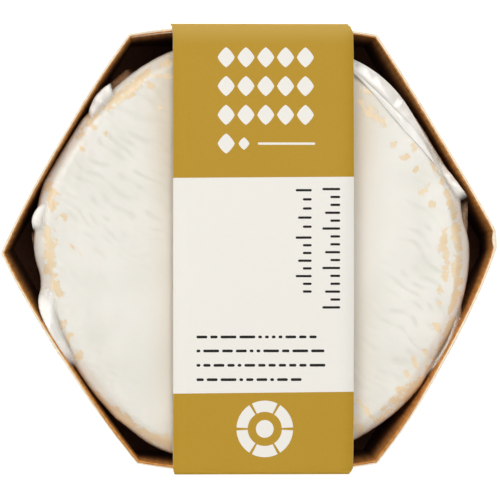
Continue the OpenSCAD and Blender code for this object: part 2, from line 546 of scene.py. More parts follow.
@dataclass(frozen=True)
class TrayOutline:
    """Outline of the tray's wall: a regular hexagon at its foot and a bowed one at its rim.

    The corner at +X is cut off by a narrow side. Sides and corners are named
    counterclockwise from it.
    """

    side_dist: float = 55.4
    glue_side_w: float = 4.6
    rim_bow: tuple[float, ...] = (0.5, 2.3, 1.5, 1.6, 2.3, 2.4)
    rim_turn: tuple[float, ...] = (2.3, -0.8, -0.8, 0.9, 2.4, 0.8)
    rim_push: tuple[float, ...] = (0.0, 0.5, -0.5, 0.0, -1.6, 0.5)
    bow_power: float = 2.5
    steps: int = 24
    foot_z: float = 0.4
    rim_z: float = 30.4

    def corners(self, turn: np.ndarray, push: np.ndarray) -> np.ndarray:
        """The seven points of the outline's corners, the glued one as two points."""
        reach_out = self.side_dist / math.cos(math.pi / 6)
        p = polar(reach_out + push, np.arange(6) * 60.0 + turn)
        half = unit(left_of(p[0])) * self.glue_side_w / 2
        return np.concatenate([[p[0] - half], [p[0] + half], p[1:]])

    def outline(self, corners: np.ndarray, bow: np.ndarray) -> np.ndarray:
        """Points along all sides, each bowed out by bow (1 - |s|^p), s from -1 to 1.

        Args:
            corners: the outline's corners.
            bow: bow of each side, the narrow one first.

        Returns:
            steps points for each side.
        """
        share = np.arange(self.steps) / self.steps
        lift = 1.0 - np.abs(2.0 * share - 1.0) ** self.bow_power
        run = np.roll(corners, -1, axis=0) - corners
        out = -left_of(unit(run))
        line = (corners[:, None] + run[:, None] * share[None, :, None]
                + out[:, None] * bow[:, None, None] * lift[None, :, None])
        return line.reshape(-1, 2)

    def swell(self, z: float) -> float:
        """Share of the way from the foot's outline to the rim's at a height."""
        return 1.0 - (1.0 - (z - self.foot_z) / (self.rim_z - self.foot_z)) ** 2

    def wall(self, z: float, depth: float = 0.0) -> np.ndarray:
        """The wall's outer outline at a height, moved inwards by depth."""
        flat = np.zeros(7)
        foot = self.outline(self.corners(np.zeros(6), np.zeros(6)), flat)
        rim = self.outline(self.corners(np.array(self.rim_turn), np.array(self.rim_push)),
                           np.array((0.0, *self.rim_bow)))
        share = self.swell(z)
        return inset(foot * (1.0 - share) + rim * share, depth)


def lifted(line: np.ndarray, z: float | np.ndarray) -> np.ndarray:
    """Plane points with a height added."""
    return np.column_stack([line, np.broadcast_to(np.asarray(z, float), len(line))])


@dataclass
class Tray:
    """Six-sided tray: a floor, an outer and an inner ply of board, cut edges and a glued corner."""

    outline: TrayOutline
    board_t: float = 0.45
    clear: float = 0.02
    edge_h: float = 0.3
    edge_w: float = 0.6
    lining_drop: float = 0.32
    wall_rows: int = 18
    edge_r: float = 0.36
    flap_w: float = 0.5
    ply_drop: float = 0.7
    ply_w: float = 0.35
    ply_t: float = 0.4
    ply_cols: int = 13

    def build(self, maker: Maker, board: bpy.types.Material, inside: bpy.types.Material,
              edge: bpy.types.Material) -> None:
        """Builds the tray's pieces.

        Args:
            maker: makes the pieces.
            board: finish of the outside.
            inside: finish of the inside, with painted shade that darkens it with depth.
            edge: finish of the cut edges.
        """
        o = self.outline
        heights = np.linspace(o.foot_z + self.edge_r, o.rim_z - self.edge_h, self.wall_rows + 1)
        foot = [lifted(o.wall(o.foot_z, self.edge_r), o.foot_z)]
        outer = [lifted(o.wall(z), z) for z in heights]
        inner = [lifted(o.wall(z, self.board_t), z) for z in heights[::-1]]
        shape = Shape()
        shape.tube(np.array(foot + outer + inner))
        maker.piece("tray_wall", shape, [board], replaces=("tray",))

        # The floor's top takes the inside finish, so it lies in its near-black painted shade.
        levels = (o.foot_z + self.clear, o.foot_z + self.board_t)
        shape = Shape()
        shape.stack(np.array([lifted(o.wall(z, self.edge_r), z) for z in levels]), under=1)
        maker.piece("tray_floor", shape, [inside, board])

        self.lining(maker, inside)
        self.cut_edge(maker, edge)
        self.turned_ply(maker, edge)

    def lining(self, maker: Maker, inside: bpy.types.Material) -> None:
        """The inner ply: up its outer face, over a rounded top and down its inner face."""
        o = self.outline
        low = o.foot_z + self.board_t
        high = o.rim_z - self.lining_drop
        outer, inner, rounding = self.board_t + self.clear, 2 * self.board_t, 0.1
        heights = np.linspace(low, high - rounding, self.wall_rows + 1)
        rings = [lifted(o.wall(z, outer), z) for z in heights]
        rings += [lifted(o.wall(high, d), high) for d in (outer + rounding, inner - rounding)]
        rings += [lifted(o.wall(z, inner), z) for z in heights[::-1]]
        shape = Shape()
        shape.tube(np.array(rings))
        maker.piece("tray_lining", shape, [inside])

    def cut_edge(self, maker: Maker, edge: bpy.types.Material) -> None:
        """The pale cut edge along the top of the outer ply.

        It is a little uneven, narrower along the front and wider at the glued corner.
        """
        o = self.outline
        line = o.wall(o.rim_z)
        ragged = 0.05 * waves(line[:, 0], line[:, 1], 6.0, seed=3)
        width = (self.edge_w + 0.4 * ragged) * (0.6 + 0.4 * smooth_step(-50.0, -30.0, line[:, 1]))
        glued = np.arange(o.steps + 1)
        width[glued] += self.flap_w * np.sin(np.pi * (glued + 3.0) / (o.steps + 6.0))
        low = o.rim_z - self.edge_h - 0.01
        inward = inset(line, 1.0) - line
        outer = ((0.0, low), (0.0, o.rim_z - 0.12), (0.12, o.rim_z - 0.02))
        rings = [lifted(line + inward * depth, z) for depth, z in outer]
        for share, z in ((0.75, o.rim_z - 0.02), (1.0, o.rim_z - 0.14), (1.0, low)):
            rings.append(lifted(line + inward * (width * share)[:, None], z + ragged * (z > low)))
        rings = np.array(rings)
        rings[..., 2] = np.minimum(rings[..., 2], o.rim_z)
        shape = Shape()
        shape.tube(rings)
        maker.piece("tray_cut_edge", shape, [edge])

    def turned_ply(self, maker: Maker, edge: bpy.types.Material) -> None:
        """A turned-in ply that shows below the rim on the back side, thinner to the left."""
        o = self.outline
        z = o.rim_z - self.ply_drop
        end = 3 * o.steps
        k = np.arange(end - self.ply_cols, end + 1)
        line = o.wall(z)[k]
        inward = o.wall(z, 1.0)[k] - line
        near = line + inward * 2 * self.board_t
        far = near + inward * self.ply_w * np.linspace(1.0, 0.35, len(k))[:, None]
        top = np.array([lifted(near, z), lifted(far, z)]).transpose(1, 0, 2)
        shape = Shape()
        shape.sheet(top, top - (0.0, 0.0, self.ply_t))
        maker.piece("tray_turned_ply", shape, [edge])


# ---- the wheel and its film ----


# Places where the rind is rubbed, going round from the upper left: the middle of each seen
# from above, half its length and width, and the lean of its length from +X in degrees.
RUBBED = (
    (-40.6, 34.3, 4.2, 1.0, 49), (-34.8, 39.0, 5.5, 1.7, 28), (-30.4, 41.6, 3.2, 1.9, 40),
    (-27.6, 44.7, 3.6, 1.0, 40), (-21.1, 48.4, 2.2, 0.9, 20), (-22.1, 44.7, 3.0, 0.6, 0),
    (-25.7, 42.6, 1.7, 0.6, -45), (-40.0, 31.5, 0.8, 0.7, 0), (-36.9, 29.9, 0.7, 0.6, 0),
    (-42.9, 26.0, 1.4, 0.6, -45), (-43.7, 29.6, 1.2, 0.6, 30), (-22.9, 36.9, 0.6, 0.5, 0),
    (-51.2, 13.8, 4.6, 1.3, -78), (-49.4, 14.3, 2.2, 0.6, -30), (-47.8, 8.6, 1.5, 0.8, -45),
    (-51.7, 2.6, 3.6, 1.6, -80), (-51.5, -3.6, 5.6, 1.7, -86), (-50.2, -9.6, 3.6, 1.3, -62),
    (-50.4, -18.2, 2.6, 0.9, -60), (-49.1, -20.0, 1.9, 1.3, 30), (-47.1, -23.7, 2.4, 1.0, 70),
    (-44.2, -27.8, 1.5, 1.2, 0), (-45.0, -30.9, 2.4, 0.6, -60), (-39.8, -38.2, 7.2, 1.2, -44),
    (-32.5, -44.2, 7.2, 1.4, -37), (-25.5, -48.9, 6.2, 1.4, -26), (-20.6, -49.6, 4.0, 1.6, -8),
    (30.2, 41.1, 0.8, 0.7, 0), (33.3, 39.8, 1.8, 0.6, -35), (29.4, 37.4, 2.4, 1.1, -50),
    (31.9, 35.2, 2.6, 1.3, -42), (34.8, 32.8, 2.0, 0.9, -40), (37.7, 27.3, 1.0, 0.8, 40),
    (40.3, 23.7, 1.1, 0.9, 0), (42.9, 26.3, 1.1, 0.9, 0), (43.4, 20.8, 1.4, 0.7, 60),
    (45.4, 15.2, 1.9, 0.9, 45), (47.6, 11.6, 1.4, 0.8, -60), (48.5, 20.9, 2.2, 0.7, -60),
    (52.0, 13.2, 5.4, 1.0, -70), (53.7, 3.4, 6.4, 1.4, -86), (54.2, -6.6, 6.4, 1.3, 88),
    (53.4, -13.6, 4.4, 1.0, 76), (52.3, -20.0, 4.8, 1.0, 65), (50.2, 2.1, 3.2, 0.8, 75),
    (51.2, -1.8, 2.6, 0.8, -75), (51.0, -6.2, 3.2, 0.7, 85), (49.7, -9.9, 1.3, 0.8, 90),
    (49.7, -14.0, 0.9, 0.8, 0), (48.9, -20.3, 1.6, 0.9, -50), (50.6, -24.6, 3.6, 0.9, 62),
    (47.1, -27.8, 2.8, 0.8, -35), (43.4, -29.9, 1.9, 0.8, -60), (41.4, -32.8, 1.2, 0.7, -40),
    (47.6, -31.2, 3.4, 1.2, 62), (43.7, -35.9, 4.4, 1.9, 33), (39.9, -36.4, 2.2, 1.0, 0),
    (40.9, -38.4, 3.2, 1.6, 40), (37.4, -39.8, 1.2, 0.9, 60), (34.8, -41.9, 1.0, 0.9, 0),
    (36.4, -42.6, 4.2, 0.7, 36), (30.2, -41.6, 3.4, 0.7, -52), (28.3, -45.8, 2.4, 1.3, -70),
    (-45.0, 0.0, 3.2, 0.32, -42),
)


@dataclass
class Wheel:
    """The cheese and the film round it, both from one uneven profile.

    The radius is R + s cos^4 a + 0.3 cos(3a + 40) + 0.2 cos(5a - 70) + 0.15 cos(9a + 15),
    and no more than what leaves the gap to the wall, less a few shallow dents. Each dent has
    an angle, a spread in degrees and a depth.
    """

    outline: TrayOutline
    floor_z: float
    top_z: float
    radius: float = 56.2
    slack: float = 0.7
    top_edge_r: float = 4.5
    bottom_edge_r: float = 4.0
    sag: float = 0.5
    gap: float = 0.3
    wall_t: float = 0.9
    centre: tuple[float, float] = (0.4, -0.9)
    film_room: float = 0.14
    dents: tuple[tuple[float, float, float], ...] = (
        (187.0, 5.0, 1.5), (233.0, 8.0, 1.2), (30.0, 11.0, 1.1), (9.0, 4.0, 0.8), (132.0, 15.0, 0.6))
    turns: int = 600
    cap_rows: int = 84
    edge_rows: int = 26

    def reach_at(self, z: float, degrees: np.ndarray, inward: float) -> np.ndarray:
        """Radius at a height, drawn in by inward."""
        a = np.radians(degrees)
        free = (self.radius + self.slack * np.cos(a) ** 4
                + 0.3 * np.cos(3 * a + math.radians(40)) + 0.2 * np.cos(5 * a - math.radians(70))
                + 0.15 * np.cos(9 * a + math.radians(15)))
        inner = self.outline.wall(z, self.wall_t + self.gap)
        held = np.minimum(free, reach(inner, np.array(self.centre), degrees))
        for at, spread, depth in self.dents:
            held -= depth * np.exp(-((turn_between(degrees, at) / spread) ** 2))
        return held - inward

    def profile(self) -> list[tuple[float, float, float]]:
        """Rows of (height, inward, share): the share is 1 up to the top edge, then falls to 0."""
        low, high = self.floor_z + self.bottom_edge_r, self.top_z - self.top_edge_r
        rows = [(self.floor_z, self.bottom_edge_r, share) for share in (0.05, 0.35, 0.7)]
        for t in np.linspace(0.0, math.pi / 2, 9):
            rows.append((low - self.bottom_edge_r * math.cos(t),
                         self.bottom_edge_r * (1.0 - math.sin(t)), 1.0))
        for z in np.linspace(low, high, 8)[1:-1]:
            rows.append((z, 0.0, 1.0))
        for t in np.linspace(0.0, math.pi / 2, self.edge_rows):
            rows.append((high + self.top_edge_r * math.sin(t),
                         self.top_edge_r * (1.0 - math.cos(t)), 1.0))
        for share in np.linspace(1.0, 0.01, self.cap_rows)[1:]:
            rows.append((self.top_z, self.top_edge_r, share))
        return rows

    def body(self, shrink: float) -> tuple[np.ndarray, np.ndarray, np.ndarray]:
        """The plain wheel drawn in by shrink.

        Args:
            shrink: how far every face lies inside the wheel's outside.

        Returns:
            Points (rows x turns x 3), outward normals and the distance inwards of each
            point from the wheel's outline, as seen from above.
        """
        degrees = np.arange(self.turns) * 360.0 / self.turns
        a = np.radians(degrees)
        centre = np.array(self.centre)
        rows = []
        for z, inward, share in self.profile():
            r = self.reach_at(z, degrees, inward) * share
            height = np.full(self.turns, z)
            if z >= self.top_z - 1e-6:
                height = (self.top_z - self.sag * (1.0 - share**2) ** 2
                          + 0.2 * share * (1.0 - share) * np.cos(2 * a - math.radians(60)))
            rows.append(np.column_stack([centre + polar(r, degrees), height]))
        points = np.array(rows)
        along = np.roll(points, -1, axis=1) - np.roll(points, 1, axis=1)
        up = np.gradient(points, axis=0)
        normals = unit(np.cross(along, up))
        away = np.linalg.norm(points[..., :2] - centre, axis=-1)
        widest = away.max(axis=0, keepdims=True)
        return points - normals * shrink, normals, widest - away


@dataclass
class Cheese:
    """The rind: the wheel's body with shallow ripples, dents, lumps, rubbed patches and painted shade.
    """

    wheel: Wheel
    ripple: float = 0.22
    lump: float = 0.2
    band_edges: tuple[float, float] = (-19.65, 27.05)
    # Width of the band's painted shadow.
    painted_band_shadow_w: float = 6.5

    def scallops(self, p: np.ndarray) -> np.ndarray:
        """Depth of the short leaning ripples on two parts of the top, about 0 to 1."""
        x, y = p[..., 0], p[..., 1]
        across = (x + 1.3 * y) / 1.64 + 1.3 * waves(x, y, 16.0, seed=11)
        patchy = np.clip(0.6 + waves(x, y, 7.0, seed=14), 0.0, 1.2)
        ripples = np.sin(across * 2.0 * math.pi / 3.1) * patchy
        left = np.exp(-(((x + 34.0) / 13.0) ** 2 + ((y - 20.0) / 20.0) ** 2))
        turned = turn_between(np.degrees(np.arctan2(y, x)), -22.0)
        right = np.exp(-(((np.hypot(x, y) - 45.0) / 7.0) ** 2 + (turned / 34.0) ** 2))
        return np.clip(ripples, 0.0, 1.0) * np.clip(1.4 * (left + right), 0.0, 1.0)

    def relief(self, p: np.ndarray, inward: np.ndarray) -> np.ndarray:
        """Height of the rind's relief: broad lumps near the edge and leaning ripples.

        Args:
            p: points of the body.
            inward: each point's distance from the outline.

        Returns:
            Millimetres to move each point along its normal, never above 0.
        """
        x, y = p[..., 0], p[..., 1]
        top = smooth_step(self.wheel.top_z - 3.0, self.wheel.top_z - 0.6, p[..., 2])
        lumps = waves(x, y, 15.0, seed=5) * (0.35 + 0.65 * smooth_step(24.0, 4.0, inward))
        fine = waves(x, y, 2.6, seed=8)
        height = (self.lump * lumps - self.ripple * self.scallops(p)
                  + 0.03 * fine * smooth_step(16.0, 2.0, inward))
        return (height - self.lump * 2.0) * top

    def wear(self, p: np.ndarray) -> np.ndarray:
        """How rubbed the rind is, from 0 to 1: e^-(t^2 + n^2)^1.1 about each patch's middle.

        Args:
            p: points of the body.

        Returns:
            One number per point, where t and n are shares of a patch's half length and width.
        """
        total = np.zeros(p.shape[:2])
        for x, y, along, across, lean in RUBBED:
            axis = polar(1.0, float(lean))
            offset = p[..., :2] - (x, y)
            far = (offset @ axis / along) ** 2 + (offset @ left_of(axis) / across) ** 2
            total = np.maximum(total, np.exp(-(far**1.1)))
        return total

    def painted_band_shadow(self, p: np.ndarray) -> np.ndarray:
        """Painted shadow of the band: warmer, darker rind beside and under it, most near its upper
        half.
        """
        left, right = self.band_edges[0] - p[..., 0], p[..., 0] - self.band_edges[1]
        far = np.maximum(np.maximum(left, right), 0.0)
        level = 0.55 + 0.45 * np.exp(-(((p[..., 1] - 33.0) / 17.0) ** 2))
        return np.exp(-((far / self.painted_band_shadow_w) ** 1.6)) * level

    def build(self, maker: Maker, rind: bpy.types.Material) -> None:
        """Builds the cheese, which stands for the wrapped wheel."""
        p, normals, inward = self.wheel.body(self.wheel.film_room)
        relief = self.relief(p, inward)
        shape = Shape()
        shape.stack(p + normals * relief[..., None])
        obj = maker.piece("cheese", shape, [rind], sharp=180.0, replaces=("wheel",))
        top = p[..., 2] > self.wheel.floor_z + 15.0
        # Painted shade: how much grey goes into the relief's hollows and the ripples.
        hollow = np.clip(-relief / (self.lump * 4.0) - 0.45, 0.0, 1.0)
        hollow = np.clip(hollow + 0.8 * self.scallops(p), 0.0, 1.0)
        for name, values in (("wear", self.wear(p)), ("painted_hollow_shade", hollow), ("painted_band_shadow", self.painted_band_shadow(p))):
            paint(obj, name, np.append(values * top, [0.0, 0.0]))


@dataclass
class FilmWrap:
    """The film round the cheese, close over its top and finely crinkled at its edge."""

    wheel: Wheel
    crinkle: float = 0.05

    def build(self, maker: Maker, film: bpy.types.Material) -> None:
        """Builds the film as one closed skin just outside the cheese."""
        p, normals, inward = self.wheel.body(0.03)
        edge = smooth_step(14.0, 3.0, inward)
        fine = self.crinkle * waves(p[..., 0], p[..., 1] + p[..., 2], 2.2, seed=21) * edge
        fine = np.minimum(fine, 0.03) * (p[..., 2] > self.wheel.floor_z + 1.0)
        shape = Shape()
        shape.stack(p + normals * fine[..., None])
        maker.piece("film_wrap", shape, [film], sharp=180.0)


class Clearness(Enum):
    """How a loose fold of film looks: its haze, its tint and how even the haze is."""

    BROWN = (0.24, (0.62, 0.36, 0.20), 0.3)
    GREY = (0.42, (0.74, 0.64, 0.52), 0.5)
    MILKY = (0.62, (0.97, 0.945, 0.89), 0.75)
    WHITE = (0.92, (0.93, 0.915, 0.87), 0.88)

    def film(self) -> Film:
        """The film finish for this look."""
        haze, tint, evenness = self.value
        return Film(f"film_{self.name.lower()}", tint, haze, evenness=evenness, fading=True)


@dataclass(frozen=True)
class Fold:
    """A loose fold of film between a line on the wheel and a line that stands free.

    Both lines run through a few given points, as smooth curves. Between them the
    fold bulges by bulge and is finely pleated across. It grows clear over the share melt of
    its width next to the wheel and over the shares fade_from and fade_to of its length.
    """

    name: str
    held: tuple[tuple[float, float, float], ...]
    free: tuple[tuple[float, float, float], ...]
    look: Clearness
    bulge: float = 0.4
    pleat: float = 0.12
    seed: int = 1
    melt: float = 0.5
    fade_from: float = 0.28
    fade_to: float = 0.28
    film_t: float = 0.05
    cols: int = 48
    rows: int = 14

    def curve(self, points: tuple[tuple[float, float, float], ...]) -> np.ndarray:
        """A smooth line through points: the polynomial of least degree that meets them all."""
        p = np.array(points, dtype=float)
        gaps = np.linalg.norm(np.diff(p, axis=0), axis=1)
        at = np.concatenate([[0.0], np.cumsum(gaps)]) / gaps.sum()
        t = np.linspace(0.0, 1.0, self.cols)
        total = np.zeros((self.cols, 3))
        for i in range(len(p)):
            others = np.delete(at, i)
            total += np.prod((t[:, None] - others) / (at[i] - others), axis=1)[:, None] * p[i]
        return total

    def build(self, maker: Maker, film: bpy.types.Material) -> None:
        """Builds the fold as a closed thin slab."""
        held, free = self.curve(self.held), self.curve(self.free)
        v = np.linspace(0.0, 1.0, self.rows)[:, None, None]
        grid = held[None] * (1.0 - v) + free[None] * v
        normal = unit(np.cross(np.gradient(grid, axis=1), np.gradient(grid, axis=0)))
        normal *= np.where(normal[..., 2:] < 0.0, -1.0, 1.0)
        u = np.linspace(0.0, 1.0, self.cols)[None, :]
        w = v[..., 0]
        length = np.linalg.norm(held[-1] - held[0]) + 1.0
        pleats = waves(u * length, w * 2.0, 3.6, seed=self.seed) * np.sin(math.pi * u)
        height = self.bulge * 4.0 * w * (1.0 - w) + self.pleat * pleats * (0.3 + 0.7 * w)
        top = grid + normal * (height + self.film_t / 2)[..., None]
        under = grid + normal * (height - self.film_t / 2)[..., None]
        facing = np.cross(top[0, 1] - top[0, 0], top[1, 0] - top[0, 0])[2] > 0.0
        if not facing:
            top, under = top[:, ::-1], under[:, ::-1]
        shape = Shape()
        shape.sheet(top, under)
        obj = maker.piece(self.name, shape, [film], sharp=180.0)
        ends = smooth_step(0.0, self.fade_from, u) * smooth_step(1.0, 1.0 - self.fade_to, u)
        veil = ends * smooth_step(0.0, self.melt, w)
        paint(obj, "veil", np.concatenate([veil.ravel(), veil.ravel()]))


FOLDS = (
    Fold("film_tab", ((-41.0, 32.6, 27.0), (-37.8, 35.6, 27.4), (-34.6, 39.0, 27.0)),
         ((-41.6, 34.4, 26.6), (-39.9, 39.2, 27.2), (-35.6, 43.0, 27.2)), Clearness.WHITE, bulge=0.12,
         pleat=0.07, seed=4, melt=0.8, fade_to=0.1),
    Fold("film_tab_side", ((-36.7, 39.0, 24.6), (-33.6, 41.6, 24.8), (-29.4, 44.6, 24.6)),
         ((-37.6, 41.2, 22.5), (-35.0, 44.4, 22.0), (-30.6, 47.2, 21.0)), Clearness.BROWN, seed=5),
    Fold("film_left_tip", ((-51.6, 11.6, 26.8), (-52.0, 7.8, 27.2), (-52.2, 4.2, 26.8)),
         ((-52.6, 12.2, 26.4), (-56.0, 8.4, 26.8), (-55.6, 4.6, 26.8)), Clearness.WHITE, bulge=0.12,
         pleat=0.06, seed=6, melt=0.8, fade_to=0.1),
    Fold("film_left_side", ((-53.4, 4.6, 23.0), (-53.5, 1.8, 23.0), (-53.6, -1.4, 23.0)),
         ((-56.4, 4.8, 23.0), (-56.2, 1.8, 22.4), (-54.4, -1.8, 22.0)), Clearness.BROWN, seed=7),
    Fold("film_left_lobe",
         ((-51.0, -8.0, 27.0), (-49.4, -15.0, 27.5), (-48.2, -20.2, 27.5), (-46.2, -25.0, 27.5),
          (-43.6, -30.4, 27.2)),
         ((-53.0, -9.0, 26.4), (-54.1, -15.8, 28.0), (-52.1, -20.4, 29.0), (-49.5, -24.9, 29.0),
          (-46.0, -30.8, 27.4)), Clearness.WHITE, bulge=0.3, pleat=0.05, seed=8),
    Fold("film_left_overlap",
         ((-51.9, -20.4, 29.3), (-50.2, -23.9, 29.5), (-48.0, -27.3, 29.3)),
         ((-52.8, -20.6, 30.4), (-51.0, -24.2, 30.45), (-48.6, -27.9, 30.4)), Clearness.MILKY,
         bulge=0.08, pleat=0.05, seed=18),
    Fold("film_taut_side",
         ((21.5, 47.0, 27.0), (28.1, 44.4, 27.3), (35.4, 37.4, 27.7), (42.4, 29.8, 27.6),
          (48.8, 22.2, 27.2)),
         ((22.0, 51.4, 26.4), (29.0, 48.3, 26.8), (36.3, 43.0, 27.0), (43.4, 33.4, 27.0),
          (49.5, 24.0, 26.8)), Clearness.WHITE, bulge=0.2, pleat=0.12, seed=9),
    # Painted highlight: a thin white strip along the taut side's crease.
    Fold("film_taut_line_painted_highlight",
         ((22.0, 51.4, 26.6), (29.0, 48.3, 27.0), (36.3, 43.0, 27.2), (43.4, 33.4, 27.2),
          (49.5, 24.0, 27.0)),
         ((21.9, 51.0, 26.8), (28.8, 47.9, 27.2), (36.0, 42.6, 27.4), (43.1, 33.0, 27.4),
          (49.2, 23.6, 27.2)), Clearness.WHITE, bulge=0.05, pleat=0.03, seed=21, melt=0.1),
    # Painted highlight: a white strip along the film's ridge, in place of its glint.
    Fold("film_ridge_painted_highlight",
         ((21.5, 48.4, 27.0), (28.0, 44.6, 27.6), (34.4, 37.5, 28.0), (39.7, 31.2, 28.2),
          (46.6, 23.8, 27.9), (52.2, 15.4, 27.0)),
         ((21.7, 48.9, 27.1), (28.4, 45.3, 27.7), (35.5, 38.5, 28.1), (41.4, 32.8, 28.2),
          (47.1, 24.6, 27.9), (52.4, 15.8, 27.0)),
         Clearness.WHITE, bulge=0.1, pleat=0.05, seed=10, melt=0.15),
    # Painted highlight: a short thin white strip by the ridge.
    Fold("film_ridge_side_painted_highlight",
         ((32.3, 44.2, 25.4), (34.0, 41.6, 26.4), (35.4, 39.0, 27.2)),
         ((32.7, 44.3, 25.4), (34.4, 41.8, 26.4), (35.7, 39.1, 27.2)),
         Clearness.WHITE, bulge=0.05, pleat=0.02, seed=22),
    Fold("film_tent", ((48.6, 22.4, 27.2), (51.0, 17.6, 27.2), (54.2, 11.8, 26.0)),
         ((49.0, 23.9, 25.4), (53.2, 18.6, 27.0), (57.0, 13.4, 27.4)), Clearness.WHITE, bulge=0.3,
         pleat=0.10, seed=11),
    Fold("film_right_strip", ((54.9, 12.2, 24.0), (55.5, 6.6, 24.0), (55.9, 0.6, 24.0)),
         ((56.8, 13.2, 26.4), (56.9, 6.6, 25.4), (56.7, 0.4, 24.2)), Clearness.BROWN, bulge=0.2,
         seed=12),
    Fold("film_low_right",
         ((54.9, -12.6, 26.0), (53.0, -19.4, 26.6), (49.9, -26.0, 26.6), (45.0, -32.6, 26.0)),
         ((55.6, -13.2, 25.0), (54.2, -20.2, 26.4), (51.0, -26.6, 27.4), (45.9, -33.6, 26.4)),
         Clearness.GREY, bulge=0.3, pleat=0.08, seed=13),
    Fold("film_low_right_side",
         ((54.9, -15.2, 24.6), (53.9, -19.8, 25.0), (52.0, -24.4, 25.0)),
         ((55.7, -15.6, 24.4), (54.9, -20.4, 25.4), (53.0, -24.8, 25.6)), Clearness.BROWN, bulge=0.1,
         seed=23),
)


# ---- the band ----


class Field(Enum):
    """Fields of colour on the band, with the finish number of each."""

    GOLD = 0
    WHITE = 1
    EDGE = 2
    BACK = 3


